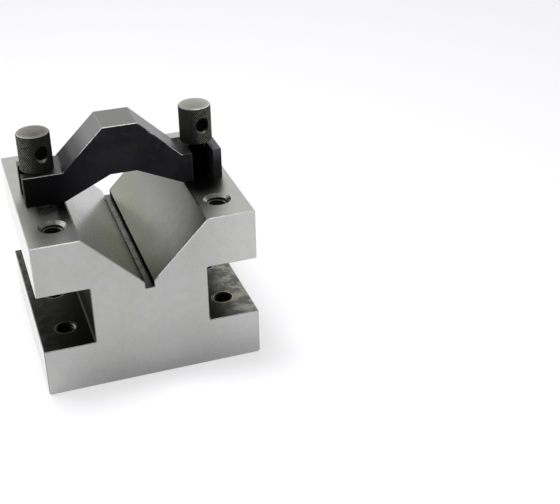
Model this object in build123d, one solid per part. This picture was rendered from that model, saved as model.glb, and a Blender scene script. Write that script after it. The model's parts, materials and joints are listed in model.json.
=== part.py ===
from build123d import *
import os
from math import isclose, radians, tan

# Lengths are in millimetres. X runs across the vee, Y along it and Z up.
# The origin is the middle of the block's underside.

# Block: a square block of hardened steel with one vee and a slot down each side
block_width = 105.0
block_length = 105.0
block_height = 79.0
top_flange_height = 25.5
base_flange_height = 24.2
web_width = 55.6
vee_opening = 59.0
vee_angle_deg = 90.0
relief_width = 4.2
relief_depth = 3.0
slot_corner_radius = 1.0
edge_chamfer = 0.4
foot_chamfer = 0.9

# Rows of tapped holes through both flanges, one row each side of the vee. Each row lies at a share
# of the flange's flat top, counted from the vee's edge out to the block's side
row_land_share = 0.424
hole_pitch = 34.3
holes_in_row = 3
thread_diameter = 10.0
thread_clearance = 0.05
countersink_diameter = 13.2

# Clamp: an arched bar with a fork at its left end and a hook at its right end. A knock has left a
# small nick in the front edge of its right slope, at a share of the way down from the crown
fork_past_screw = 8.55
hook_past_screw = 9.6
seat_margin = 2.25
clamp_thickness = 22.0
ear_height = 15.0
arch_span = 58.0
arch_flat = 12.8
arch_rise = 10.4
crown_flat = 16.8
crown_height = 34.8
clamp_chamfer = 0.3
slot_clearance = 0.15
nick_share = 0.28
nick_radius = 1.6
nick_depth = 0.45

# Clamp screws: a knurled round head with a cross hole, and a threaded shank
head_diameter = 16.0
head_height = 18.6
head_top_chamfer = 0.7
head_foot_chamfer = 0.4
shank_length = 40.0
tip_chamfer = 1.0
cross_hole_diameter = 6.3
cross_hole_mouth = 1.2
left_head_gap = 0.0
right_head_gap = 2.4
left_cross_hole_deg = -71.0
right_cross_hole_deg = -77.0

# How far a cutting shape runs past the face it enters or leaves
overrun = 2.0

# Places that several pieces share
slot_ceiling = block_height - top_flange_height
screw_x = (vee_opening + row_land_share * (block_width - vee_opening)) / 2
fork_end = screw_x + fork_past_screw
hook_end = screw_x + hook_past_screw
shoulder_x = screw_x - head_diameter / 2 - seat_margin
ear_top = block_height + ear_height
hole_radius = thread_diameter / 2 + thread_clearance
shank_radius = thread_diameter / 2
slot_radius = shank_radius + slot_clearance


def mirrored(right_half):
    """A closed outline from its right half, which runs from the top middle to the bottom middle."""
    left_half = [(-x, z) for x, z in reversed(right_half)]
    return make_face(Polyline(*right_half, *left_half, close=True))


def corners_at(face, half_width):
    """The corners of an outline that lie half_width out from its middle line."""
    return face.vertices().filter_by(lambda v: isclose(abs(v.X), half_width))


def bar(outline, length):
    """An outline drawn in X and Z, run along Y for a length that is centred on the origin."""
    return extrude(Plane.XZ * outline, amount=length / 2, both=True)


def end_edges(solid):
    """All edges of the faces that end a bar at its front and back."""
    ends = solid.faces().filter_by(Axis.Y).group_by(Axis.Y)
    return [edge for face in [*ends[0], *ends[-1]] for edge in face.edges()]


def block_outline():
    """The front of the block: base, side slots, vee, and the groove that relieves its corner."""
    vee_depth = (vee_opening - relief_width) / 2 / tan(radians(vee_angle_deg / 2))
    relief_top = block_height - vee_depth
    outline = mirrored([
        (relief_width / 2, relief_top - relief_depth),
        (relief_width / 2, relief_top),
        (vee_opening / 2, block_height),
        (block_width / 2, block_height),
        (block_width / 2, slot_ceiling),
        (web_width / 2, slot_ceiling),
        (web_width / 2, base_flange_height),
        (block_width / 2, base_flange_height),
        (block_width / 2, 0),
    ])
    outline = fillet(corners_at(outline, web_width / 2), slot_corner_radius)
    foot_corners = [v for v in corners_at(outline, block_width / 2) if v.Y < base_flange_height / 2]
    outline = chamfer(foot_corners, foot_chamfer)
    flange_corners = corners_at(outline, block_width / 2).filter_by(lambda v: v.Y > base_flange_height / 2)
    return chamfer([*flange_corners, *corners_at(outline, vee_opening / 2)], edge_chamfer)


def hole_cutter():
    """One tapped hole: a drill down through both flanges, and the countersink of its top mouth."""
    drill = Pos(0, 0, -overrun) * Cylinder(
        hole_radius, block_height + 2 * overrun, align=(Align.CENTER, Align.CENTER, Align.MIN))
    sink_depth = countersink_diameter / 2 - hole_radius
    sink = Pos(0, 0, block_height - sink_depth) * Cone(
        hole_radius, hole_radius + sink_depth + overrun, sink_depth + overrun,
        align=(Align.CENTER, Align.CENTER, Align.MIN))
    return drill + sink


def v_block():
    """The block with its edges broken and both rows of holes cut."""
    body = bar(block_outline(), block_length)
    body = chamfer(end_edges(body), edge_chamfer)
    return body - GridLocations(2 * screw_x, hole_pitch, 2, holes_in_row) * hole_cutter()


def clamp_outline():
    """The front of the clamp: flat ears, a crown between them, and the arch that spans the vee."""
    return make_face(Polyline(
        (-crown_flat / 2, block_height + crown_height),
        (crown_flat / 2, block_height + crown_height),
        (shoulder_x, ear_top),
        (hook_end, ear_top),
        (hook_end, block_height),
        (arch_span / 2, block_height),
        (arch_flat / 2, block_height + arch_rise),
        (-arch_flat / 2, block_height + arch_rise),
        (-arch_span / 2, block_height),
        (-fork_end, block_height),
        (-fork_end, ear_top),
        (-shoulder_x, ear_top),
        close=True))


def slot_cutter(reach):
    """A slot with one round end on the origin, run along -Y for the given reach."""
    plan = Circle(slot_radius) + Pos(0, -reach / 2) * Rectangle(2 * slot_radius, reach)
    return Pos(0, 0, block_height - overrun) * extrude(plan, amount=ear_height + 2 * overrun)


def nick_cutter():
    """A ball that bites the nick's depth into the front edge of the right slope."""
    crown_corner = Vector(crown_flat / 2, -clamp_thickness / 2, block_height + crown_height)
    shoulder = Vector(shoulder_x, -clamp_thickness / 2, ear_top)
    down_slope = shoulder - crown_corner
    front = Vector(0, -1, 0)
    outward = (front.cross(down_slope).normalized() + front).normalized()
    return Pos(crown_corner + down_slope * nick_share + outward * (nick_radius - nick_depth)) * Sphere(nick_radius)


def clamp_bridge():
    """The clamp: its fork opens to the left and its hook to the front, each round a screw."""
    body = bar(clamp_outline(), clamp_thickness)
    fork_reach = fork_past_screw + overrun
    hook_reach = clamp_thickness / 2 + overrun
    body -= Pos(-screw_x, 0) * Rot(0, 0, -90) * slot_cutter(fork_reach)
    body -= Pos(screw_x, 0) * slot_cutter(hook_reach)
    return chamfer(end_edges(body), clamp_chamfer) - nick_cutter()


def cross_hole_cutter():
    """The hole across a screw head, opened out at each mouth by a countersink at 45 degrees."""
    reach = head_diameter / 2 + overrun
    straight = head_diameter / 2 - cross_hole_mouth
    narrow = cross_hole_diameter / 2
    wide = narrow + reach - straight
    side = [(narrow, straight), (wide, reach), (0, reach)]
    lower = [(x, -y) for x, y in reversed(side)]
    profile = Plane.XZ * make_face(Polyline(*lower, *side, close=True))
    return revolve(profile, Axis.Z)


def clamp_screw(x, head_gap, cross_hole_deg):
    """A screw on its axis at x, with its head the given gap above the clamp's ear."""
    head_radius = head_diameter / 2
    profile = make_face(Polyline(
        (0, -shank_length),
        (shank_radius - tip_chamfer, -shank_length),
        (shank_radius, tip_chamfer - shank_length),
        (shank_radius, 0),
        (head_radius - head_foot_chamfer, 0),
        (head_radius, head_foot_chamfer),
        (head_radius, head_height - head_top_chamfer),
        (head_radius - head_top_chamfer, head_height),
        (0, head_height),
        close=True))
    body = revolve(Plane.XZ * profile, Axis.Z)
    lie_across = Rot(0, 0, cross_hole_deg) * Rot(0, 90, 0)
    body -= Pos(0, 0, head_height / 2) * lie_across * cross_hole_cutter()
    return Pos(x, 0, ear_top + head_gap) * body


parts = {
    "v_block": v_block(),
    "clamp_bridge": clamp_bridge(),
    "left_clamp_screw": clamp_screw(-screw_x, left_head_gap, left_cross_hole_deg),
    "right_clamp_screw": clamp_screw(screw_x, right_head_gap, right_cross_hole_deg),
}

os.makedirs("parts", exist_ok=True)
for name, shape in parts.items():
    export_step(shape, f"parts/{name}.step")
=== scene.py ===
import json
from math import cos, pi, radians, sin, tau
from types import SimpleNamespace

import bpy
import numpy as np
from mathutils import Matrix, Vector


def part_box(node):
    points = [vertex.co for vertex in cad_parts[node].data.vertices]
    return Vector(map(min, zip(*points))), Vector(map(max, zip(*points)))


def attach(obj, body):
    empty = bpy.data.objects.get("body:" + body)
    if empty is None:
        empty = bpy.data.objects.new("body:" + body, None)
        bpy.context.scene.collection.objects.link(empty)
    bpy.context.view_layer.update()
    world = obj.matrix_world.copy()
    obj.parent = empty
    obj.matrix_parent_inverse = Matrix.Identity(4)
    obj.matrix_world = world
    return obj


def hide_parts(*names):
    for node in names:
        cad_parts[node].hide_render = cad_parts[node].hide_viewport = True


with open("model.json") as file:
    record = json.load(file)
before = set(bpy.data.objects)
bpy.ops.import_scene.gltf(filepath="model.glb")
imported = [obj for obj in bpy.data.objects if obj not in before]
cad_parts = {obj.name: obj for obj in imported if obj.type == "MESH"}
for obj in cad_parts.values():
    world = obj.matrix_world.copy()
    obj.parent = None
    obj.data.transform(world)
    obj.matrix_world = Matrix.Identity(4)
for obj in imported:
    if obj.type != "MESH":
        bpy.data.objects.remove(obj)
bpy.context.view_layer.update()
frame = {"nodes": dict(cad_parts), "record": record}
mm = 0.001

# The block. One solid of hardened steel: its outer faces and the vee are ground bright, the slots down its
# sides and the groove at the bottom of the vee are left dark from the furnace, and its edges are broken by
# a small bright chamfer.
# Painted light and shade lie over these: lighter tops, sides and right end, shade low on the front, in the
# slots, the groove and the vee.
_, block_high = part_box("v_block")
half_width = block_high.x
half_length = block_high.y
block_top = block_high.z
web_half = 27.8 * mm
base_flange_top = 24.2 * mm
slot_ceiling = 53.5 * mm
vee_half = 29.5 * mm
groove_half = 2.1 * mm
groove_top = 51.6 * mm
groove_reach = 4 * mm
edge_chamfer = 0.4 * mm
top_holes = next(m for m in frame["record"]["mounts"] if m["name"] == "top_outer_holes")["dims"]
row_x = top_holes["spacing_x_mm"] / 2 * mm
hole_step = top_holes["spacing_y_mm"] / 2 * mm
rows_reach = 1.5 * hole_step
hole_radius = top_holes["hole_r_mm"] * mm
sink_radius = 6.6 * mm
sink_depth = sink_radius - hole_radius
mouth_ring = 0.35 * mm
skin = 0.01 * mm

ground_grey = (0.417, 0.423, 0.396)
ground_cool = (0.43, 0.433, 0.423)
ground_painted_light = (0.52, 0.524, 0.508)
ground_stain_and_shade = (0.27, 0.27, 0.275)
flange_lit_grey = (0.52, 0.525, 0.49)
side_lit_grey = (0.86, 0.86, 0.83)
vee_olive = (0.26, 0.267, 0.21)
vee_grey = (0.39, 0.392, 0.377)
vee_painted_reflection = (0.53, 0.535, 0.525)
vee_painted_shade = (0.15, 0.15, 0.145)
left_olive = (0.34, 0.348, 0.265)
oil_and_shade_dark = (0.025, 0.025, 0.022)
dirt_and_shade_olive = (0.014, 0.0155, 0.006)
furnace_dark = (0.03, 0.029, 0.024)
floor_shade = (0.016, 0.016, 0.0135)
floor_brown_shaded = (0.062, 0.062, 0.047)
floor_grey = (0.12, 0.12, 0.108)
floor_olive = (0.32, 0.32, 0.262)
groove_grey = (0.145, 0.145, 0.128)
groove_oxide_and_shadow_black = (0.002, 0.002, 0.002)
fresh_cut = (0.58, 0.58, 0.55)
countersink_cream = (0.74, 0.72, 0.63)
countersink_oil = (0.17, 0.168, 0.155)

# Scales of the steel's clouds and grinding lines, in spots to the metre, and depths of what can be felt
fine_scale = 1500
cloud_scale = 260
blotch_scale = 60
grime_scale = 230
speck_scale = 750
line_scale = 2600
line_stretch = (1, 0.02, 1)
line_depth = 0.0005 * mm
grime_depth = 0.02 * mm
score_pitch = 0.55 * mm
score_depth = 0.02 * mm

# How matt each surface is
ground_matt = (0.24, 0.28)
flange_matt = 0.36
dirty_matt = 0.55
slot_matt = 0.34
groove_wall_matt = 1.0
edge_matt = 0.42
vee_edge_matt = 0.75
sink_matt = 0.24
sink_oil_matt = 0.5

# Marks of use, painted light and shade. A span is where a mark starts and where it is full. A table goes
# from stop to stop, each with its place and the strength of the mark there.
low_shade_span = (base_flange_top + 18 * mm, 0.0)
low_shade_across = ((-half_width, 0.1), (-half_width / 3, 0.9), (half_width / 3, 0.9), (half_width, 0.55))
sink_stain_span = (sink_radius + 9 * mm, sink_radius)
left_front_shade_across = (-row_x, -vee_half - 2 * mm)
left_front_shade_along = (-hole_step + 4 * mm, -half_length + 4 * mm)
by_foot_along = ((-hole_step - 4 * mm, 0.0), (-28 * mm, 0.8), (-18 * mm, 1.0), (-11 * mm, 1.0), (0.0, 0.0))
fork_dirt_across = (-row_x - 7 * mm, -row_x - 3 * mm)
fork_dirt_along = ((-28 * mm, 0.4), (-24 * mm, 0.5), (-20 * mm, 0.92), (-16 * mm, 1.0))
foot_shade_across = (-row_x + 2 * mm, -vee_half - 4 * mm)
hook_oil_and_shade_x = vee_half + 7 * mm
hook_oil_and_shade_y = -13 * mm
hook_oil_and_shade_span = (14.5 * mm, 5 * mm)
hook_oil_and_shade_stretch = 0.7
edge_shade_along = ((-half_length, 0.1), (-hole_step, 0.9), (-12 * mm, 1.0), (0.0, 0.0))
vee_oil_span = (block_top - 6 * mm, groove_top + 4 * mm)
vee_reflection_along = (-20 * mm, 15 * mm)
vee_shade_across = (4 * mm, vee_half)
floor_shade_across = (web_half + 3 * mm, half_width - 3 * mm)
groove_grey_along = ((-half_length, 0.25), (0.0, 0.8), (half_length, 1.0))
sink_oil_turn = radians(14)


def new_finish(name):
    """A material with no nodes yet."""
    finish = bpy.data.materials.new(name)
    finish.use_nodes = True
    finish.node_tree.nodes.clear()
    return finish


def put(finish, socket, value):
    """Gives a socket a plain value, or joins another node's output to it."""
    if isinstance(value, bpy.types.NodeSocket):
        finish.node_tree.links.new(value, socket)
    elif isinstance(value, tuple) and socket.type == "RGBA":
        socket.default_value = (*value, 1)
    else:
        socket.default_value = value


def add_node(finish, kind, inputs, **settings):
    """One shader node with its settings and its inputs."""
    node = finish.node_tree.nodes.new("ShaderNode" + kind)
    for name, value in settings.items():
        setattr(node, name, value)
    for key, value in inputs.items():
        put(finish, node.inputs[key], value)
    return node


def reckon(finish, operation, *terms):
    """One step of arithmetic on numbers or on other nodes' outputs."""
    return add_node(finish, "Math", dict(enumerate(terms)), operation=operation).outputs[0]


def less(finish, value, limit):
    """1 where a value is under a limit, else 0."""
    return reckon(finish, "LESS_THAN", value, limit)


def more(finish, value, limit):
    """1 where a value is over a limit, else 0."""
    return reckon(finish, "GREATER_THAN", value, limit)


def every(finish, *masks):
    """The product of some masks: 1 only where all of them are 1."""
    whole = masks[0]
    for mask in masks[1:]:
        whole = reckon(finish, "MULTIPLY", whole, mask)
    return whole


def either(finish, *masks):
    """The greatest of some masks."""
    whole = masks[0]
    for mask in masks[1:]:
        whole = reckon(finish, "MAXIMUM", whole, mask)
    return whole


def between(finish, value, low, high):
    """1 where a value lies between two limits, else 0."""
    return every(finish, more(finish, value, low), less(finish, value, high))


def distance(finish, first, second):
    """How far a point is from an axis that it is first away from one way and second away the other way."""
    first_square = reckon(finish, "POWER", first, 2.0)
    second_square = reckon(finish, "POWER", second, 2.0)
    return reckon(finish, "SQRT", reckon(finish, "ADD", first_square, second_square))


def ramp(finish, value, start, end, low=0.0, high=1.0):
    """A smooth change from low at start to high at end, level on both sides."""
    inputs = {"Value": value, "From Min": start, "From Max": end, "To Min": low, "To Max": high}
    return add_node(finish, "MapRange", inputs, interpolation_type="SMOOTHSTEP").outputs["Result"]


def graded(finish, value, *stops):
    """A level that goes straight from stop to stop. Each stop is a value and the level there."""
    first, last = stops[0][0], stops[-1][0]
    inputs = {"Value": value, "From Min": first, "From Max": last}
    share = add_node(finish, "MapRange", inputs).outputs["Result"]
    node = add_node(finish, "ValToRGB", {"Fac": share})
    marks = node.color_ramp.elements
    for _ in stops[2:]:
        marks.new(0.5)
    for mark, (where, height) in zip(marks, stops):
        mark.position = (where - first) / (last - first)
        mark.color = (height, height, height, 1)
    return node.outputs["Color"]


def shade(finish, share, first, second):
    """The first colour where share is 0 and the second where it is 1."""
    node = finish.node_tree.nodes.new("ShaderNodeMix")
    node.data_type = "RGBA"
    put(finish, node.inputs["Factor"], share)
    put(finish, node.inputs[6], first)
    put(finish, node.inputs[7], second)
    return node.outputs[2]


def level(finish, share, first, second):
    """The first number where share is 0 and the second where it is 1."""
    return add_node(finish, "Mix", {"Factor": share, "A": first, "B": second}).outputs[0]


def mottle(finish, place, scale, detail=3.0, stretch=(1, 1, 1)):
    """Cloudy noise from 0 to 1, with scale in spots to the metre, drawn out where stretch is small."""
    drawn = add_node(finish, "VectorMath", {0: place, 1: stretch}, operation="MULTIPLY").outputs[0]
    return add_node(finish, "TexNoise", {"Vector": drawn, "Scale": scale, "Detail": detail}).outputs["Fac"]


def turned_lines(finish, from_axis, pitch):
    """The wave of rings that a lathe or a countersink leaves, from -1 to 1."""
    return reckon(finish, "SINE", reckon(finish, "MULTIPLY", from_axis, tau / pitch))


def place_on(finish):
    """Where a point lies on its piece, as one vector and as its three parts."""
    place = add_node(finish, "TexCoord", {}).outputs["Object"]
    parts = add_node(finish, "SeparateXYZ", {0: place}).outputs
    return place, parts[0], parts[1], parts[2]


def relief(finish, height, depth, rest=None):
    """A bump of the given depth where height is 1, on top of another bump if there is one."""
    inputs = {"Height": height, "Distance": depth, "Strength": 1.0}
    if rest is not None:
        inputs["Normal"] = rest
    return add_node(finish, "Bump", inputs).outputs["Normal"]


def surface(finish, **inputs):
    """Ends a finish with its one surface shader."""
    named = {key.replace("_", " ").title().replace("Ior", "IOR"): value for key, value in inputs.items()}
    shader = add_node(finish, "BsdfPrincipled", named)
    put(finish, add_node(finish, "OutputMaterial", {}).inputs["Surface"], shader.outputs[0])


def nearest_hole(finish, across, y):
    """A point's place from the axis of its row's nearest hole: outward, backward, and its distance."""
    outward = reckon(finish, "SUBTRACT", across, row_x)
    backward = reckon(finish, "WRAP", y, hole_step / 2, -hole_step / 2)
    return outward, backward, distance(finish, outward, backward)


def block_places(finish):
    """Where a point is on the block, with a mask for each kind of surface: 1 on it and 0 elsewhere."""
    at = SimpleNamespace()
    at.place, at.x, at.y, at.z = place_on(finish)
    at.across = reckon(finish, "ABSOLUTE", at.x)
    at.along = reckon(finish, "ABSOLUTE", at.y)
    at.left = less(finish, at.x, 0.0)
    at.right = more(finish, at.x, 0.0)
    at.on_side = more(finish, at.across, half_width - skin)
    at.on_flange = more(finish, at.z, block_top - skin)
    at.by_foot = every(finish, at.on_flange, at.left, graded(finish, at.y, *by_foot_along))
    at.in_slot = every(
        finish,
        between(finish, at.across, web_half - skin, half_width - edge_chamfer - skin),
        between(finish, at.z, base_flange_top - skin, slot_ceiling + skin),
        less(finish, at.along, half_length - edge_chamfer + skin))
    at.on_slot_floor = every(finish, at.in_slot, less(finish, at.z, base_flange_top + skin))
    inside_ends = less(finish, at.along, half_length - skin)
    at.in_groove = every(
        finish, inside_ends, less(finish, at.across, groove_half + skin),
        between(finish, at.z, groove_top - groove_reach, groove_top + skin))
    at.on_groove_wall = every(finish, at.in_groove, more(finish, at.across, groove_half - skin))
    at.in_vee = every(
        finish, inside_ends, less(finish, at.across, vee_half - edge_chamfer),
        more(finish, at.z, groove_top + skin))
    at.on_vee_edge = every(
        finish, between(finish, at.across, vee_half - edge_chamfer, vee_half + edge_chamfer),
        between(finish, at.z, block_top - edge_chamfer, block_top - skin))
    end_edge = between(finish, at.along, half_length - edge_chamfer + skin, half_length - skin)
    side_edge = between(finish, at.across, half_width - edge_chamfer + skin, half_width - skin)
    at.on_broken_edge = either(finish, end_edge, side_edge)
    return at


def add_hole_places(finish, at):
    """Adds what lies round the holes: their walls, countersinks and mouths, and the countersinks' painted
    shade.

    The painted shade lies on the back of the countersink, turned towards the left by a set angle.
    """
    outward, backward, at.from_axis = nearest_hole(finish, at.across, at.y)
    in_rows = less(finish, at.along, rows_reach)
    at.in_hole = every(finish, in_rows, less(finish, at.from_axis, hole_radius + skin))
    at.in_sink = every(
        finish, in_rows, less(finish, at.from_axis, sink_radius - skin),
        between(finish, at.z, block_top - sink_depth - skin, block_top - skin))
    at.on_slot_mouth = every(
        finish, at.on_slot_floor, in_rows, less(finish, at.from_axis, hole_radius + mouth_ring))
    at.scores = turned_lines(finish, at.from_axis, score_pitch)
    rightward = reckon(finish, "MULTIPLY", outward, reckon(finish, "SIGN", at.x))
    turned_back = reckon(
        finish, "SUBTRACT", reckon(finish, "MULTIPLY", backward, cos(sink_oil_turn)),
        reckon(finish, "MULTIPLY", rightward, sin(sink_oil_turn)))
    # Painted shade: the back of each countersink, turned a little to the left, is dark
    share_back = reckon(finish, "DIVIDE", turned_back, at.from_axis)
    at.sink_oil = every(finish, at.in_sink, ramp(finish, share_back, 0.5, 0.9))


def add_clouds(finish, at):
    """Adds the uneven patches that the block's colours and roughness share."""
    at.fine = mottle(finish, at.place, fine_scale, 2.0)
    at.cloudy = mottle(finish, at.place, cloud_scale, 4.0)
    at.blotch = mottle(finish, at.place, blotch_scale, 5.0)
    at.grime = mottle(finish, at.place, grime_scale, 7.0)
    at.specks = mottle(finish, at.place, speck_scale, 5.0)
    at.lines = mottle(finish, at.place, line_scale, 2.0, line_stretch)


def ground_colour(finish, at):
    """Cloudy ground steel; painted light on tops, sides, right end and low left; painted shade low in the
    middle.
    """
    steel = shade(finish, ramp(finish, at.blotch, 0.42, 0.62), ground_grey, ground_cool)
    # Painted light: lighter at the right end and low at the left, for brighter reflections on the front
    painted_light_right = ramp(finish, at.x, half_width / 3, half_width)
    painted_light_low_left = every(
        finish, ramp(finish, at.x, -half_width / 2, -half_width), ramp(finish, at.z, base_flange_top, 0.0))
    steel = shade(finish, either(finish, painted_light_low_left, painted_light_right), steel, ground_painted_light)
    # Painted light: the top faces get a lighter copy of the ground steel
    steel = shade(finish, at.on_flange, steel, flange_lit_grey)
    # Painted light: both side faces get a much lighter copy of the ground steel
    steel = shade(finish, at.on_side, steel, side_lit_grey)
    steel = shade(finish, ramp(finish, at.cloudy, 0.35, 0.75, 0.0, 0.07), steel, ground_stain_and_shade)
    steel = shade(finish, ramp(finish, at.fine, 0.4, 0.75, 0.0, 0.06), steel, ground_stain_and_shade)
    # Painted shade: darker low down, most in the middle, for the shadowed table seen in the front face
    low_shade = every(
        finish, ramp(finish, at.z, *low_shade_span, 0.0, 0.7), graded(finish, at.x, *low_shade_across))
    return shade(finish, low_shade, steel, ground_stain_and_shade)


def flange_marks(finish, at, steel):
    """The top: stains round the holes, dirt and oil with painted shade by the clamp's feet, painted shade at
    left front.
    """
    near_sink = every(finish, at.on_flange, ramp(finish, at.from_axis, *sink_stain_span))
    stained = every(finish, near_sink, ramp(finish, at.blotch, 0.3, 0.55, 0.0, 0.1))
    steel = shade(finish, stained, steel, ground_stain_and_shade)
    # Painted shade: a darker patch at the left front of the top, for the clamp's black front reflected there
    left_front_shade = every(
        finish, at.on_flange, at.left, ramp(finish, at.x, *left_front_shade_across),
        ramp(finish, at.y, *left_front_shade_along))
    steel = shade(finish, left_front_shade, steel, ground_stain_and_shade)

    patchy = every(
        finish, ramp(finish, at.grime, 0.35, 0.6, 0.8, 1.0), ramp(finish, at.specks, 0.35, 0.65, 0.82, 1.0))
    by_fork = every(
        finish, at.by_foot, ramp(finish, at.x, *fork_dirt_across), graded(finish, at.y, *fork_dirt_along),
        patchy)
    # Painted shade: smooth dark before the left foot towards the vee, for the clamp seen in the top; the
    # patchy part by the fork is dirt
    foot_shade = every(finish, at.by_foot, ramp(finish, at.x, *foot_shade_across))
    steel = shade(finish, either(finish, by_fork, foot_shade), steel, dirt_and_shade_olive)

    # Oil and painted shade: a dark patch before the hook's foot, for its reflection and contact shadow in
    # the top
    from_spot = distance(
        finish, reckon(finish, "SUBTRACT", at.x, hook_oil_and_shade_x),
        reckon(finish, "MULTIPLY", reckon(finish, "SUBTRACT", at.y, hook_oil_and_shade_y), hook_oil_and_shade_stretch))
    hook_oil_and_shade = every(finish, at.on_flange, ramp(finish, from_spot, *hook_oil_and_shade_span, 0.0, 0.97))
    steel = shade(finish, hook_oil_and_shade, steel, oil_and_shade_dark)
    # Painted shade: darker along the right vee edge, most just before the hook
    edge_shade = every(
        finish, reckon(finish, "COMPARE", at.x, vee_half, edge_chamfer),
        graded(finish, at.y, *edge_shade_along),
        between(finish, at.z, block_top - edge_chamfer + skin, block_top - skin))
    return shade(finish, edge_shade, steel, oil_and_shade_dark)


def vee_marks(finish, at, steel):
    """The flanks: grey and olive with oil, painted reflection at the left back, painted shade front and
    right.
    """
    # Painted reflection: the left flank is lighter towards the back
    left_back_reflection = every(finish, at.left, ramp(finish, at.y, *vee_reflection_along))
    elsewhere = reckon(finish, "SUBTRACT", 1.0, left_back_reflection)
    steel = shade(finish, every(finish, at.in_vee, elsewhere), steel, vee_grey)
    oiled = every(
        finish, at.in_vee, ramp(finish, at.z, *vee_oil_span), elsewhere,
        ramp(finish, at.blotch, 0.3, 0.65, 0.7, 1.0))
    steel = shade(finish, oiled, steel, shade(finish, at.right, left_olive, vee_olive))
    steel = shade(finish, every(finish, at.in_vee, left_back_reflection), steel, vee_painted_reflection)
    # Painted shade: the right flank darker towards its top, and both flanks darker to the front
    shaded = every(finish, at.in_vee, ramp(finish, at.x, *vee_shade_across))
    steel = shade(finish, shaded, steel, vee_painted_shade)
    near_front = every(finish, at.in_vee, ramp(finish, at.y, 0.0, -half_length, 0.0, 0.4))
    return shade(finish, near_front, steel, vee_painted_shade)


def slot_colour(finish, at):
    """Furnace black; floor dirt brown left, olive grey right; painted shade by the web and on the left."""
    # Painted shade: each floor darkens towards the web, and the left floor is kept much darker than the
    # right
    outward = ramp(finish, at.across, *floor_shade_across)
    dirty = ramp(finish, at.grime, 0.38, 0.62)
    left_floor = shade(finish, every(finish, outward, dirty), floor_shade, floor_brown_shaded)
    right_floor = shade(finish, outward, floor_shade, shade(finish, dirty, floor_grey, floor_olive))
    floor = shade(finish, at.right, left_floor, right_floor)
    return shade(finish, at.on_slot_floor, furnace_dark, floor)


def groove_floor_colour(finish, at):
    """Black, under mottled grey patches that grow fainter to the front."""
    grey_patches = every(
        finish, graded(finish, at.y, *groove_grey_along), ramp(finish, at.grime, 0.35, 0.6, 0.6, 1.0))
    return shade(finish, grey_patches, groove_oxide_and_shadow_black, groove_grey)


def sink_colour(finish, at):
    """A scored, cream countersink with painted shade on its back."""
    scored = ramp(finish, at.scores, 0.0, 0.8, 0.0, 0.85)
    return shade(finish, either(finish, at.sink_oil, scored), countersink_cream, countersink_oil)


def block_roughness(finish, at):
    """How matt each of the block's surfaces is, from 0 for polished to 1."""
    dull = ramp(finish, at.cloudy, 0.3, 0.7, *ground_matt)
    dull = level(finish, at.on_flange, dull, flange_matt)
    dull = level(finish, at.by_foot, dull, dirty_matt)
    dull = level(finish, at.in_slot, dull, slot_matt)
    dull = level(finish, at.on_groove_wall, dull, groove_wall_matt)
    dull = level(finish, at.on_broken_edge, dull, edge_matt)
    dull = level(finish, at.on_vee_edge, dull, vee_edge_matt)
    return level(finish, at.in_sink, dull, level(finish, at.sink_oil, sink_matt, sink_oil_matt))


def block_finish():
    """Ground steel, with the dark slots and groove, the bright edges and the countersinks told by place."""
    finish = new_finish("ground_steel")
    at = block_places(finish)
    add_hole_places(finish, at)
    add_clouds(finish, at)
    colour = ground_colour(finish, at)
    colour = flange_marks(finish, at, colour)
    colour = vee_marks(finish, at, colour)
    colour = shade(finish, at.in_slot, colour, slot_colour(finish, at))
    bright_edge = shade(finish, more(finish, at.z, slot_ceiling), ground_stain_and_shade, fresh_cut)
    colour = shade(finish, at.on_broken_edge, colour, bright_edge)
    colour = shade(finish, at.in_groove, colour, groove_floor_colour(finish, at))
    # Painted shadow: the groove's walls are painted black
    colour = shade(finish, at.on_groove_wall, colour, groove_oxide_and_shadow_black)
    colour = shade(finish, at.on_slot_mouth, colour, fresh_cut)
    colour = shade(finish, at.in_hole, colour, furnace_dark)
    colour = shade(finish, at.in_sink, colour, sink_colour(finish, at))
    bump = relief(finish, at.lines, line_depth)
    bump = relief(finish, every(finish, at.in_slot, at.grime), grime_depth, bump)
    bump = relief(finish, every(finish, at.in_sink, at.scores), score_depth, bump)
    surface(finish, base_color=colour, metallic=1.0, roughness=block_roughness(finish, at), normal=bump)
    return finish


def dress(node, finish):
    """Puts a finish on a piece."""
    node.data.materials.clear()
    node.data.materials.append(finish)


block = frame["nodes"]["v_block"]
dress(block, block_finish())

# The threads in the block. Each hole is tapped M10 through both flanges, and in the top flange the thread
# runs out into the countersink. They are cut in the block's own steel, with painted light near the mouths
# and at the hole's sides, and painted shade deeper in.
thread_pitch = 1.5 * mm
spare_turns = 2
tapped_root = 5.04 * mm
tapped_crest = 4.22 * mm
tapped_root_share = 0.1075
tapped_crest_share = 0.077
tapped_columns = 72
wall_in_steel = 5.1 * mm
rim_chamfer = 0.35 * mm
weld_gap = 0.0005 * mm
top_light_span = (block_top - 7 * mm, block_top - 2 * mm)
floor_light_span = (base_flange_top - 6 * mm, base_flange_top - 1 * mm)
tapped_speck_scale = 900
tapped_matt = 0.35
tapped_shade = (0.03, 0.029, 0.026)
tapped_lit = (0.5, 0.49, 0.44)


def thread_rows(corner_shares, corner_radii, low, high, columns):
    """A right-handed thread between two heights, as heights and radii on a grid of rows and columns.

    Along one turn the radius goes straight from corner to corner of the thread's section. A row follows one
    corner round the axis and climbs by one pitch in a turn: height = pitch x (turn + corner's share +
    angle / full turn). Beyond low and high the rows are held at that height, with the thread's radius there.
    """
    turn_share = np.linspace(0, 1, columns + 1)
    turns = np.arange(int(low / thread_pitch) - spare_turns, int(high / thread_pitch) + spare_turns)
    corners = (turns[:, None] + np.array(corner_shares)[None, :]).ravel()
    height = np.clip(thread_pitch * (corners[:, None] + turn_share[None, :]), low, high)
    share = (height / thread_pitch - turn_share) % 1
    around_shares = [*corner_shares, 1 + corner_shares[0]]
    around_radii = [*corner_radii, corner_radii[0]]
    radius = np.interp(share, around_shares, around_radii, period=1)
    return height, radius


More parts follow.
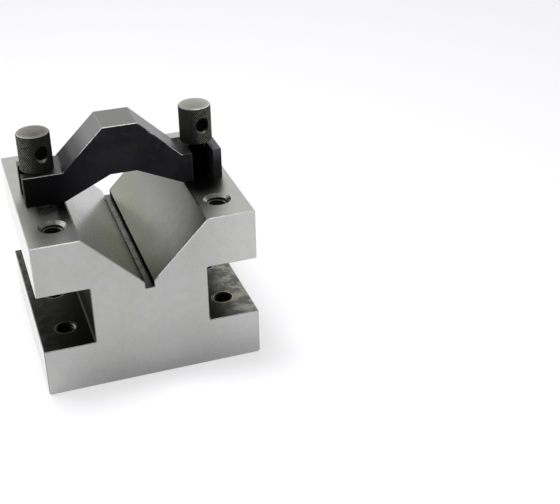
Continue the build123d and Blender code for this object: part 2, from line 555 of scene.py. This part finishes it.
def turned_points(height, radius, axis_x=0.0, axis_y=0.0):
    """Points round an upright axis, one column to an angle.

    x = axis_x + radius x cos(angle) and y = axis_y + radius x sin(angle).
    """
    angle = np.linspace(0, tau, height.shape[1])
    x = axis_x + radius * np.cos(angle)
    y = axis_y + radius * np.sin(angle)
    return np.stack([x, y, height], axis=-1)


def lathe_mesh(name, strips, leaning=None):
    """A mesh from grids of points, each row joined to the next. Points that meet are made one.

    The rows go up the outside, so the faces look outward. leaning gives the number of one strip and says
    which of its squares are cut on the other diagonal.
    """
    points = np.concatenate([strip.reshape(-1, 3) for strip in strips])
    faces = []
    start = 0
    for number, strip in enumerate(strips):
        rows, columns = strip.shape[:2]
        index = start + np.arange(rows * columns).reshape(rows, columns)
        a, b = index[:-1, :-1].ravel(), index[:-1, 1:].ravel()
        c, d = index[1:, 1:].ravel(), index[1:, :-1].ravel()
        other = np.zeros(len(a), bool)
        if leaning and leaning[0] == number:
            other = leaning[1].ravel()
        first = np.where(other[:, None], np.stack([a, b, d], 1), np.stack([a, b, c], 1))
        second = np.where(other[:, None], np.stack([b, c, d], 1), np.stack([a, c, d], 1))
        faces += [first, second]
        start += rows * columns
    faces = np.concatenate(faces)
    grid = np.round(points / weld_gap).astype(np.int64)
    _, keep, same = np.unique(grid, axis=0, return_index=True, return_inverse=True)
    faces = same.reshape(-1)[faces]
    whole = (faces[:, 0] != faces[:, 1]) & (faces[:, 1] != faces[:, 2]) & (faces[:, 2] != faces[:, 0])
    faces = faces[whole]
    mesh = bpy.data.meshes.new(name)
    mesh.vertices.add(len(keep))
    mesh.vertices.foreach_set("co", points[keep].astype(np.float32).ravel())
    mesh.loops.add(faces.size)
    mesh.loops.foreach_set("vertex_index", faces.ravel().astype(np.int32))
    mesh.polygons.add(len(faces))
    mesh.polygons.foreach_set("loop_start", np.arange(0, faces.size, 3, dtype=np.int32))
    mesh.update(calc_edges=True)
    mesh.validate()
    mesh.shade_flat()
    return mesh


def ring(height, radius, columns):
    """One row of a strip: the same height and radius all round."""
    return np.full((1, columns + 1), height), np.full((1, columns + 1), radius)


def tapped_stretch(axis_x, axis_y, low, high, mouth_low, mouth_high):
    """The tapped lining of one hole between two heights, a closed shell whose outer wall lies in the steel.

    The inside is the thread, cut back at each end by a cone at 45 degrees: radius is never less than the
    mouth's radius less the distance from that end.
    """
    shares = (tapped_root_share, 0.5 - tapped_crest_share, 0.5 + tapped_crest_share, 1 - tapped_root_share)
    radii = (tapped_root, tapped_crest, tapped_crest, tapped_root)
    height, radius = thread_rows(shares, radii, low, high, tapped_columns)
    cone = np.maximum(mouth_low - (height - low), mouth_high - (high - height))
    inside = turned_points(height[::-1], np.maximum(radius, cone)[::-1], axis_x, axis_y)
    low_rim = ring(low, wall_in_steel, tapped_columns)
    high_rim = ring(high, wall_in_steel, tapped_columns)
    outside = turned_points(*(np.concatenate(pair) for pair in zip(low_rim, high_rim)), axis_x, axis_y)
    under = np.stack([inside[-1], outside[0]])
    over = np.stack([outside[-1], inside[0]])
    return [inside, under, outside, over]


def tapped_finish():
    """Cut steel in a hole: painted light on the crests near the mouths and at the sides, painted shade
    below.
    """
    finish = new_finish("tapped_steel")
    place, x, y, z = place_on(finish)
    _, backward, from_axis = nearest_hole(finish, reckon(finish, "ABSOLUTE", x), y)
    crest = ramp(finish, from_axis, tapped_root, tapped_crest)
    # Painted light near the mouths and at the hole's sides, painted shade deeper in
    floor_light = every(
        finish, less(finish, z, base_flange_top + skin), ramp(finish, z, *floor_light_span))
    by_mouth = either(finish, ramp(finish, z, *top_light_span), floor_light)
    share_back = reckon(finish, "DIVIDE", reckon(finish, "ABSOLUTE", backward), tapped_root)
    at_sides = ramp(finish, share_back, 0.75, 0.35, 0.2, 1.0)
    lit_threads = every(finish, by_mouth, at_sides, ramp(finish, crest, 0.0, 1.0, 0.15, 1.0))
    speck = ramp(finish, mottle(finish, place, tapped_speck_scale), 0.3, 0.7, 0.6, 1.0)
    colour = shade(finish, every(finish, lit_threads, speck), tapped_shade, tapped_lit)
    surface(finish, base_color=colour, metallic=1.0, roughness=tapped_matt)
    return finish


def new_piece(name, content):
    """A new object in the scene, on a mesh, a lamp or a lens."""
    piece = bpy.data.objects.new(name, content)
    bpy.context.scene.collection.objects.link(piece)
    return piece


def tapped_row(name, axis_x, finish):
    """All the threads of one row of holes."""
    sunk = block_top - sink_depth
    outer_mouth = tapped_crest + rim_chamfer
    strips = []
    for axis_y in (-hole_step, 0.0, hole_step):
        strips += tapped_stretch(axis_x, axis_y, slot_ceiling, sunk, outer_mouth, tapped_root)
        strips += tapped_stretch(axis_x, axis_y, 0.0, base_flange_top, tapped_root, outer_mouth)
    piece = new_piece(name, lathe_mesh(name, strips))
    dress(piece, finish)
    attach(piece, "block")
    return piece


tapped_steel = tapped_finish()
tapped_row("left_tapped_threads", -row_x, tapped_steel)
tapped_row("right_tapped_threads", row_x, tapped_steel)

# The clamp. One bar of steel, milled to an arch and blackened all over. Its front and back stay deep black,
# its top is rubbed grey and painted lighter, with painted shade at the left slope's foot and on the right
# ear, and its top edges have worn through to bright steel.
_, clamp_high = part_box("clamp_bridge")
clamp_half_thickness = clamp_high.y
clamp_chamfer = 0.3 * mm
ear_top = block_top + 15 * mm
shoulder_x = 29.0 * mm
crown_half = 8.4 * mm
nick_start = 12.8 * mm
nick_end = 15.6 * mm
black_oxide = (0.0008, 0.0008, 0.0012)
blued_oxide = (0.018, 0.018, 0.022)
scuffed_oxide = (0.024, 0.022, 0.018)
hand_grey = (0.07, 0.07, 0.074)
rubbed_and_lit_grey = (0.30, 0.30, 0.295)
bright_steel = (0.60, 0.595, 0.57)
scuff_scale = 260
patch_scale = 70
streak_scale = 500
streak_stretch = (1, 0.08, 1)
pore_scale = 1400
pore_depth = 0.008 * mm
oxide_matt = (0.42, 0.55)
bared_matt = 0.38
oxide_ior = 1.16

# How far the upper edges are worn through, and how far the upper faces are rubbed and painted lighter, with
# painted shade at the left slope's foot and on the right ear, from the left end to the right
edge_wear = (
    (-shoulder_x - 20 * mm, 0.4), (-shoulder_x, 0.4), (-shoulder_x + 1 * mm, 0.06),
    (-shoulder_x + 7 * mm, 0.1), (-shoulder_x + 11 * mm, 1.0), (crown_half, 1.0), (crown_half + 1 * mm, 0.1),
    (nick_start - 0.1 * mm, 0.1), (nick_start, 0.8), (nick_end, 0.8), (nick_end + 0.1 * mm, 0.12),
    (shoulder_x - 8 * mm, 0.12), (shoulder_x - 5 * mm, 1.0), (shoulder_x, 1.0),
    (shoulder_x + 0.5 * mm, 0.04), (shoulder_x + 20 * mm, 0.04))
top_wear_light_and_shade = (
    (-shoulder_x - 10 * mm, 0.45), (-shoulder_x, 0.3), (-shoulder_x + 1 * mm, 0.02),
    (-shoulder_x + 4 * mm, 0.02), (-shoulder_x + 9 * mm, 0.2), (-shoulder_x + 14 * mm, 0.70),
    (-crown_half, 0.75), (-crown_half + 1 * mm, 0.76), (0.0, 0.74), (crown_half, 0.75),
    (crown_half + 1 * mm, 0.75), (shoulder_x - 8 * mm, 0.72), (shoulder_x - 1 * mm, 0.15),
    (shoulder_x + 1 * mm, 0.01), (row_x, 0.01), (row_x + 8 * mm, 0.3))
upright_wear = 0.09
bend_line_reach = 0.25 * mm
bend_line_strength = 0.2
blued_across = (-shoulder_x - 8 * mm, -crown_half)
ear_shade_start = (shoulder_x - 1 * mm, shoulder_x)
ear_shade_end = (row_x + 6 * mm, row_x)
prong_rub_span = (block_top + 7 * mm, ear_top)


def clamp_places(finish):
    """Where a point is on the clamp and how far it faces up, with masks for upper faces and edges."""
    at = SimpleNamespace()
    at.place, at.x, at.y, at.z = place_on(finish)
    normal = add_node(finish, "TexCoord", {}).outputs["Normal"]
    at.facing_up = add_node(finish, "SeparateXYZ", {0: normal}).outputs[2]
    along = reckon(finish, "ABSOLUTE", at.y)
    chamfer_start = clamp_half_thickness - clamp_chamfer + skin
    at.on_top = every(finish, more(finish, at.facing_up, 0.45), less(finish, along, chamfer_start))
    at.on_edge = between(finish, along, chamfer_start, clamp_half_thickness - skin)
    at.scuffs = mottle(finish, at.place, scuff_scale, 6.0)
    at.patches = mottle(finish, at.place, patch_scale, 4.0)
    return at


def clamp_edges(finish, at):
    """How far the edges are worn through: the upper ones by their table, the upright ones a little."""
    upper = every(
        finish, at.on_edge, more(finish, at.facing_up, 0.2), graded(finish, at.x, *edge_wear),
        ramp(finish, at.patches, 0.3, 0.45, 0.6, 1.0))
    upright = every(
        finish, at.on_edge, between(finish, at.facing_up, -0.1, 0.1), less(finish, at.x, row_x),
        upright_wear)
    return either(finish, upper, upright)


def clamp_side_colour(finish, at):
    """Black oxide, bluer to the right, scuffed from the left slope to the hook, grey on its front prong."""
    blued = every(
        finish, ramp(finish, at.x, *blued_across, 0.1, 1.0), ramp(finish, at.patches, 0.35, 0.6, 0.6, 1.0))
    side = shade(finish, blued, black_oxide, blued_oxide)
    scuffed = every(
        finish, ramp(finish, at.x, -shoulder_x, -crown_half), ramp(finish, at.x, row_x, shoulder_x),
        ramp(finish, at.scuffs, 0.5, 0.7, 0.0, 0.8))
    side = shade(finish, scuffed, side, scuffed_oxide)
    prong_front = every(
        finish, more(finish, at.x, row_x), ramp(finish, at.z, *prong_rub_span),
        less(finish, at.y, skin - clamp_half_thickness))
    return shade(finish, prong_front, side, hand_grey)


def clamp_top_colour(finish, at, grey_share, side):
    """Rubbed grey tops with painted light, by the share; painted shade on the right ear; a bright line at
    each bend.
    """
    streaks = mottle(finish, at.place, streak_scale, 3.0, streak_stretch)
    # Rubbed wear and painted light: the upper faces turn grey as far as the share says
    rubbed_and_lit = every(finish, at.on_top, ramp(finish, streaks, 0.3, 0.7, 0.95, 1.0), grey_share)
    colour = shade(finish, rubbed_and_lit, side, rubbed_and_lit_grey)
    # Painted shade: the right ear's top under the knob is painted back to black
    ear_shade = every(
        finish, at.on_top, ramp(finish, at.x, *ear_shade_start), ramp(finish, at.x, *ear_shade_end),
        ramp(finish, at.patches, 0.3, 0.6, 0.9, 0.6))
    colour = shade(finish, ear_shade, colour, black_oxide)
    # A thin bright line along the bends beside the crown
    from_bend = reckon(finish, "SUBTRACT", reckon(finish, "ABSOLUTE", at.x), crown_half)
    bend_line = reckon(finish, "COMPARE", from_bend, 0.0, bend_line_reach)
    return shade(finish, every(finish, at.on_top, bend_line, bend_line_strength), colour, bright_steel)


def clamp_finish():
    """Black oxide, rubbed grey with painted light on the upper faces, and worn bright along the upper edges.
    """
    finish = new_finish("black_clamp")
    at = clamp_places(finish)
    worn_edge = clamp_edges(finish, at)
    grey_share = graded(finish, at.x, *top_wear_light_and_shade)
    colour = clamp_top_colour(finish, at, grey_share, clamp_side_colour(finish, at))
    colour = shade(finish, worn_edge, colour, bright_steel)
    metal = either(finish, every(finish, at.on_top, ramp(finish, grey_share, 0.0, 0.12)), worn_edge)
    dull = level(finish, metal, ramp(finish, at.scuffs, 0.3, 0.7, *oxide_matt), bared_matt)
    bump = relief(finish, mottle(finish, at.place, pore_scale, 2.0), pore_depth)
    surface(finish, base_color=colour, metallic=metal, roughness=dull, ior=oxide_ior, normal=bump)
    return finish


dress(frame["nodes"]["clamp_bridge"], clamp_finish())

# The two clamp screws. Each is turned from one bar: a round head with a diamond knurl and a hole across it
# for a tommy bar, a neck, and an M10 thread down to a chamfered tip. They are blackened, with a turned top.
screw_root = 4.1 * mm
screw_crest = 4.97 * mm
screw_crest_share = 0.0625
screw_root_share = 0.0915
tip_radius = 4.0 * mm
neck_height = 1.4 * mm
head_radius = 8.0 * mm
head_height = 18.6 * mm
head_top_chamfer = 0.7 * mm
head_foot_chamfer = 0.4 * mm
knurl_round = 48
knurl_rows = 16
knurl_cuts = 6
knurl_depth = 0.34 * mm
knurl_flat_share = 0.8
tommy_radius = 3.15 * mm
tommy_mouth = 1.2 * mm
tommy_overrun = 2 * mm
tommy_columns = 64
bare_rim = 0.5 * mm
crest_span = (head_radius - 0.16 * mm, head_radius - 0.02 * mm)
crest_patch_scale = 700
grain_scale = 600
grain_depth = 0.01 * mm
ring_pitch = 0.25 * mm
ring_depth = 0.004 * mm
screw_ior = 1.25
knurl_dark = (0.022, 0.022, 0.0175)
knurl_worn = (0.50, 0.50, 0.41)
mouth_shaded = (0.012, 0.012, 0.011)
mouth_lit = (0.16, 0.155, 0.135)
thread_black = (0.002, 0.002, 0.002)
hole_black = (0.001, 0.001, 0.001)

# How each screw is worn and lit. Its knurl's crests are worn, with painted light from the first number
# outward, which is counted in head radii from its axis to the block's side. The next is the colour of its
# knurl's other side, in painted shade, then come its top and its rim.
left_wear_and_light = SimpleNamespace(
    lit_from=0.12, inner=(0.012, 0.012, 0.0105), top=(0.085, 0.067, 0.053), rim=(0.62, 0.60, 0.54))
right_wear_and_light = SimpleNamespace(
    lit_from=-0.5, inner=(0.022, 0.0225, 0.019), top=(0.25, 0.25, 0.215), rim=(0.78, 0.78, 0.73))


def knurl_strip(foot, top):
    """The head's side. Two families of vee grooves climb left and right round it and leave small pyramids.

    With u in knurls round the head and v in knurls up it, the height is the lesser of the two waves
    1 - |2 x part(u + v) - 1| and 1 - |2 x part(u - v) - 1|, cut flat near its top. The chamfers at foot
    and top cut it back at 45 degrees.
    """
    columns = knurl_round * knurl_cuts
    rows = knurl_rows * knurl_cuts
    u = np.linspace(0, knurl_round, columns + 1)[None, :]
    v = np.linspace(0, knurl_rows, rows + 1)[:, None]
    rising = 1 - np.abs(2 * ((u + v) % 1) - 1)
    falling = 1 - np.abs(2 * ((u - v) % 1) - 1)
    crest = np.minimum(np.minimum(rising, falling), knurl_flat_share) / knurl_flat_share
    height = foot + (top - foot) * v / knurl_rows + 0 * u
    radius = head_radius - knurl_depth * (1 - crest)
    radius = np.minimum(radius, head_radius - head_foot_chamfer + (height - foot))
    radius = np.minimum(radius, head_radius - head_top_chamfer + (top - height))
    half = knurl_cuts // 2
    column_half = np.arange(columns)[None, :] // half
    row_half = np.arange(rows)[:, None] // half
    leaning = (column_half + row_half) % 2 == 1
    return turned_points(height, radius), leaning


def screw_strips(tip, foot):
    """A clamp screw on the origin's axis, from its tip up to the middle of its top."""
    columns = knurl_round * knurl_cuts
    neck = foot - neck_height
    top = foot + head_height
    shares = (screw_crest_share, 0.5 - screw_root_share, 0.5 + screw_root_share, 1 - screw_crest_share)
    radii = (screw_crest, screw_root, screw_root, screw_crest)
    height, radius = thread_rows(shares, radii, tip, neck, columns)
    radius = np.minimum(radius, tip_radius + (height - tip))
    radius = np.minimum(radius, screw_root + (neck - height))
    thread = turned_points(height, radius)
    side, leaning = knurl_strip(foot, top)
    tip_disc = np.concatenate([turned_points(*ring(tip, 0.0, columns)), thread[:1]])
    neck_wall = np.concatenate([thread[-1:], turned_points(*ring(foot, screw_root, columns))])
    underside = np.concatenate([neck_wall[-1:], side[:1]])
    top_disc = np.concatenate([side[-1:], turned_points(*ring(top, 0.0, columns))])
    below_side = [tip_disc, thread, neck_wall, underside]
    return [*below_side, side, top_disc], (len(below_side), leaning)


def tommy_cutter(height, direction):
    """The hole across a head: a rod that opens out at 45 degrees to a countersink at each end."""
    reach = head_radius + tommy_overrun
    straight = head_radius - tommy_mouth
    wide = tommy_radius + reach - straight
    along = np.array([-reach, -reach, -straight, straight, reach, reach])
    radius = np.array([0.0, wide, tommy_radius, tommy_radius, wide, 0.0])
    round_rows = [np.repeat(row[:, None], tommy_columns + 1, 1) for row in (along, radius)]
    mesh = lathe_mesh("tommy_cutter", [turned_points(*round_rows)])
    turn = Matrix.Rotation(direction, 4, "Z") @ Matrix.Rotation(pi / 2, 4, "Y")
    mesh.transform(Matrix.Translation((0, 0, height)) @ turn)
    return mesh


def cut_away(piece, cutter_mesh):
    """Cuts one mesh out of a piece for good."""
    cutter = new_piece(cutter_mesh.name, cutter_mesh)
    cut = piece.modifiers.new("tommy_hole", "BOOLEAN")
    cut.operation = "DIFFERENCE"
    cut.solver = "EXACT"
    cut.object = cutter
    bpy.context.view_layer.update()
    whole = piece.data
    dressed = piece.evaluated_get(bpy.context.evaluated_depsgraph_get())
    piece.data = bpy.data.meshes.new_from_object(dressed)
    piece.data.name = piece.name
    piece.modifiers.clear()
    bpy.data.objects.remove(cutter)
    bpy.data.meshes.remove(whole)


def screw_places(finish, axis_x, foot, hole_height, direction):
    """Where a point is on a screw, with a mask for each kind of surface.

    The tommy hole and its two mouths are told by a point's distance from the hole's axis and its place
    along it: on a mouth, which is a cone at 45 degrees, both grow alike from where the cone starts.
    """
    at = SimpleNamespace()
    at.place, x, at.y, at.z = place_on(finish)
    from_axis_x = reckon(finish, "SUBTRACT", x, axis_x)
    at.outer = reckon(finish, "MULTIPLY", from_axis_x, float(np.sign(axis_x)))
    at.from_axis = distance(finish, from_axis_x, at.y)
    top = foot + head_height
    at.on_head = more(finish, at.z, foot - skin)
    at.on_shank = less(finish, at.z, foot - skin)
    at.on_top = more(finish, at.z, top - skin)
    at.on_rim = every(
        finish, between(finish, at.z, top - bare_rim, top - skin),
        more(finish, at.from_axis, head_radius - head_top_chamfer - skin))
    beside = reckon(
        finish, "SUBTRACT", reckon(finish, "MULTIPLY", at.y, float(np.cos(direction))),
        reckon(finish, "MULTIPLY", from_axis_x, float(np.sin(direction))))
    inward = reckon(
        finish, "ADD", reckon(finish, "MULTIPLY", from_axis_x, float(np.cos(direction))),
        reckon(finish, "MULTIPLY", at.y, float(np.sin(direction))))
    above = reckon(finish, "SUBTRACT", at.z, hole_height)
    from_hole = distance(finish, beside, above)
    at.in_hole = less(finish, from_hole, tommy_radius + skin)
    cone_depth = reckon(finish, "SUBTRACT", reckon(finish, "ABSOLUTE", inward), head_radius - tommy_mouth)
    cone_reach = reckon(finish, "SUBTRACT", from_hole, tommy_radius)
    at.on_mouth = every(
        finish, at.on_head, between(finish, cone_reach, skin, tommy_mouth + skin),
        reckon(finish, "COMPARE", cone_depth, cone_reach, 2 * skin))
    at.lit_mouth = every(
        finish, ramp(finish, beside, tommy_radius, 0.0),
        ramp(finish, above, tommy_radius, -tommy_radius, 0.2, 1.0))
    return at


def screw_finish(name, axis_x, foot, hole_height, direction, wear_and_light):
    """Black knurl with rubbed crests, a black thread, a turned top with lathe rings and a bright rim, and
    painted light.
    """
    finish = new_finish(name)
    at = screw_places(finish, axis_x, foot, hole_height, direction)
    grain = mottle(finish, at.place, grain_scale, 4.0)
    lit_side_span = (head_radius * wear_and_light.lit_from, head_radius * (wear_and_light.lit_from + 0.7))
    # Worn crests with painted light: they shine more towards the outer side
    crest = every(
        finish, at.on_head, ramp(finish, at.from_axis, *crest_span),
        ramp(finish, mottle(finish, at.place, crest_patch_scale, 3.0), 0.38, 0.6, 0.4, 1.0),
        ramp(finish, at.outer, *lit_side_span, 0.05, 0.9))
    # Painted light and shade: valleys lighter on the outer side, and on the other side darkening to black
    # towards the foot
    inner = shade(finish, ramp(finish, at.z, foot, foot + head_height * 0.7), thread_black, wear_and_light.inner)
    valley = shade(finish, ramp(finish, at.outer, -head_radius * 0.5, head_radius * 0.8), inner, knurl_dark)
    colour = shade(finish, crest, valley, knurl_worn)
    colour = shade(finish, at.on_head, thread_black, colour)
    colour = shade(finish, at.in_hole, colour, hole_black)
    # Painted light on the lower left of each tommy mouth, painted shade on the rest
    colour = shade(finish, at.on_mouth, colour, shade(finish, at.lit_mouth, mouth_shaded, mouth_lit))

    # Bright turned rim, with painted light: brightest on the outer side
    rim_light_span = (head_radius * (wear_and_light.lit_from - 0.1), head_radius * (wear_and_light.lit_from + 0.6))
    lit_bare_rim = every(finish, at.on_rim, ramp(finish, at.outer, *rim_light_span, 0.35, 1.0))
    colour = shade(finish, lit_bare_rim, colour, wear_and_light.rim)
    # Turned top with painted light: lighter towards the rim, the outer side and the back
    turned = shade(finish, ramp(finish, grain, 0.35, 0.7, 0.0, 0.12), wear_and_light.top, knurl_worn)
    turned = shade(
        finish, ramp(finish, at.from_axis, head_radius * 0.6, head_radius, 0.0, 0.25), turned, wear_and_light.rim)
    turned = shade(finish, ramp(finish, at.outer, 0.0, head_radius, 0.0, 0.25), turned, wear_and_light.rim)
    turned = shade(finish, ramp(finish, at.y, -head_radius, head_radius, 0.0, 0.3), turned, wear_and_light.rim)
    colour = shade(finish, at.on_top, colour, turned)

    metal = either(
        finish, at.on_top, lit_bare_rim, at.on_mouth, at.in_hole, at.on_shank,
        reckon(finish, "MULTIPLY", crest, 0.6))
    dull = level(finish, metal, 0.5, 0.42)
    dull = level(finish, at.on_rim, dull, 0.5)
    dull = level(finish, at.in_hole, dull, 0.9)
    rings = turned_lines(finish, at.from_axis, ring_pitch)
    bump = relief(finish, every(finish, at.on_top, rings), ring_depth)
    bump = relief(finish, grain, grain_depth, bump)
    surface(finish, base_color=colour, metallic=metal, roughness=dull, ior=screw_ior, normal=bump)
    return finish


def clamp_screw(name, node, body, mount, wear_and_light):
    """One screw where its plain stand-in is, with its tommy hole along the hole that the record names."""
    low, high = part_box(node)
    axis_x = (low.x + high.x) / 2
    foot = high.z - head_height
    strips, leaning = screw_strips(low.z, foot)
    hole = next(m for m in frame["record"]["mounts"] if m["name"] == mount)
    hole_height = hole["pos_m"][2]
    direction = np.arctan2(hole["axis"][1], hole["axis"][0])
    piece = new_piece(name, lathe_mesh(name, strips, leaning))
    cut_away(piece, tommy_cutter(hole_height, direction))
    piece.data.transform(Matrix.Translation((axis_x, 0, 0)))
    dress(piece, screw_finish(name + "_finish", axis_x, foot, hole_height, direction, wear_and_light))
    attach(piece, body)
    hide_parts(node)
    return piece


clamp_screw("left_knurled_screw", "left_clamp_screw", "left_screw", "left_tommy_hole", left_wear_and_light)
clamp_screw("right_knurled_screw", "right_clamp_screw", "right_screw", "right_tommy_hole", right_wear_and_light)

# The table and the light. The object stands on a plain white table that shows its soft shadow, in a white
# room that polished faces show dimmer in front and straight above. Two weak lamps in front, one high and
# one at the left, catch the edges. A strong one above, which polished faces don't show, casts the shadow.
table_reach = 4.0
table_diffuse = (0.88, 0.88, 0.91)
table_plain_share = 0.52
plain_white = (1.0, 1.0, 1.0)
room_fill = 0.42
front_gloom = 0.30
front_span = (-0.55, 0.25)
zenith_gloom = 0.35
zenith_span = (0.5, 0.95)


def room_rays(tree):
    """Two masks: 1 where the camera looks, and 1 where the camera, a polished face or glass does."""
    rays = tree.nodes.new("ShaderNodeLightPath").outputs
    seen = rays["Is Camera Ray"]
    for name in ("Is Glossy Ray", "Is Transmission Ray"):
        both = tree.nodes.new("ShaderNodeMath")
        both.operation = "MAXIMUM"
        tree.links.new(seen, both.inputs[0])
        tree.links.new(rays[name], both.inputs[1])
        seen = both.outputs[0]
    return rays["Is Camera Ray"], seen


def white_table():
    """A white table whose own colour is lit by the room, with a share of plain white for what sees it."""
    corners = [(-table_reach, -table_reach, 0), (table_reach, -table_reach, 0),
               (table_reach, table_reach, 0), (-table_reach, table_reach, 0)]
    mesh = bpy.data.meshes.new("table")
    mesh.from_pydata(corners, [], [(0, 1, 2, 3)])
    piece = new_piece("table", mesh)
    finish = new_finish("table_white")
    _, seen = room_rays(finish.node_tree)
    matt = add_node(finish, "BsdfDiffuse", {"Color": table_diffuse}).outputs[0]
    plain = add_node(finish, "Emission", {"Color": plain_white, "Strength": 1.0}).outputs[0]
    share = reckon(finish, "MULTIPLY", seen, table_plain_share)
    both = add_node(finish, "MixShader", {0: share, 1: matt, 2: plain}).outputs[0]
    put(finish, add_node(finish, "OutputMaterial", {}).inputs["Surface"], both)
    mesh.materials.append(finish)


def white_room():
    """The room: white to the camera, dimmer in front and above in polished faces, and low as a light."""
    world = bpy.data.worlds.new("room")
    world.use_nodes = True
    world.node_tree.nodes.clear()
    camera_ray, seen = room_rays(world.node_tree)
    direction = add_node(world, "TexCoord", {}).outputs["Generated"]
    heading = add_node(world, "SeparateXYZ", {0: direction}).outputs
    behind = ramp(world, heading[1], *front_span, front_gloom, 1.0)
    overhead = ramp(world, heading[2], *zenith_span, 1.0, zenith_gloom)
    seen_strength = level(world, camera_ray, every(world, behind, overhead), 1.0)
    strength = level(world, seen, room_fill, seen_strength)
    room = add_node(world, "Background", {"Color": plain_white, "Strength": strength}).outputs[0]
    put(world, add_node(world, "OutputWorld", {}).inputs["Surface"], room)
    bpy.context.scene.world = world


def soft_lamp(name, place, aim, size, power, mirrored=True):
    """A square soft lamp that looks at a point. mirrored says whether polished faces show it."""
    lamp = bpy.data.lights.new(name, "AREA")
    lamp.shape = "SQUARE"
    lamp.size = size
    lamp.energy = power
    holder = new_piece(name, lamp)
    holder.location = place
    holder.rotation_euler = (Vector(aim) - Vector(place)).to_track_quat("-Z", "Y").to_euler()
    holder.visible_glossy = mirrored
    return holder


white_table()
white_room()
soft_lamp("overhead_lamp", (0.08, -0.37, 0.68), (0, 0, 0.05), 0.3, 0.9)
soft_lamp("left_lamp", (-0.50, -0.42, 0.46), (0, 0, 0.08), 0.25, 0.5)
soft_lamp("back_lamp", (-0.13, 0.15, 1.10), (0, 0, 0.05), 0.36, 9.3, mirrored=False)

# The camera. It looks down on the block's front from the left, where the photograph was taken. Its place,
# its angles and its focal length in pixels were fitted to the block's edges in the photograph.
camera_place = Vector((-82.04, -485.50, 309.87)) * mm
camera_yaw = radians(18.657)
camera_pitch = radians(29.194)
camera_roll = radians(-1.180)
focal_pixels = 1090.25
picture_width = 560
sensor_width = 36
near_clip = 0.01

forward = Vector((
    sin(camera_yaw) * cos(camera_pitch), cos(camera_yaw) * cos(camera_pitch), -sin(camera_pitch)))
level_right = Vector((cos(camera_yaw), -sin(camera_yaw), 0))
level_up = level_right.cross(forward)
right = cos(camera_roll) * level_right + sin(camera_roll) * level_up
up = cos(camera_roll) * level_up - sin(camera_roll) * level_right
lens = bpy.data.cameras.new("camera")
lens.sensor_width = sensor_width
lens.lens = sensor_width * focal_pixels / picture_width
lens.clip_start = near_clip
camera = new_piece("camera", lens)
camera.matrix_world = Matrix.Translation(camera_place) @ Matrix((right, up, -forward)).transposed().to_4x4()
bpy.context.scene.camera = camera
bpy.context.scene.view_settings.view_transform = "Standard"
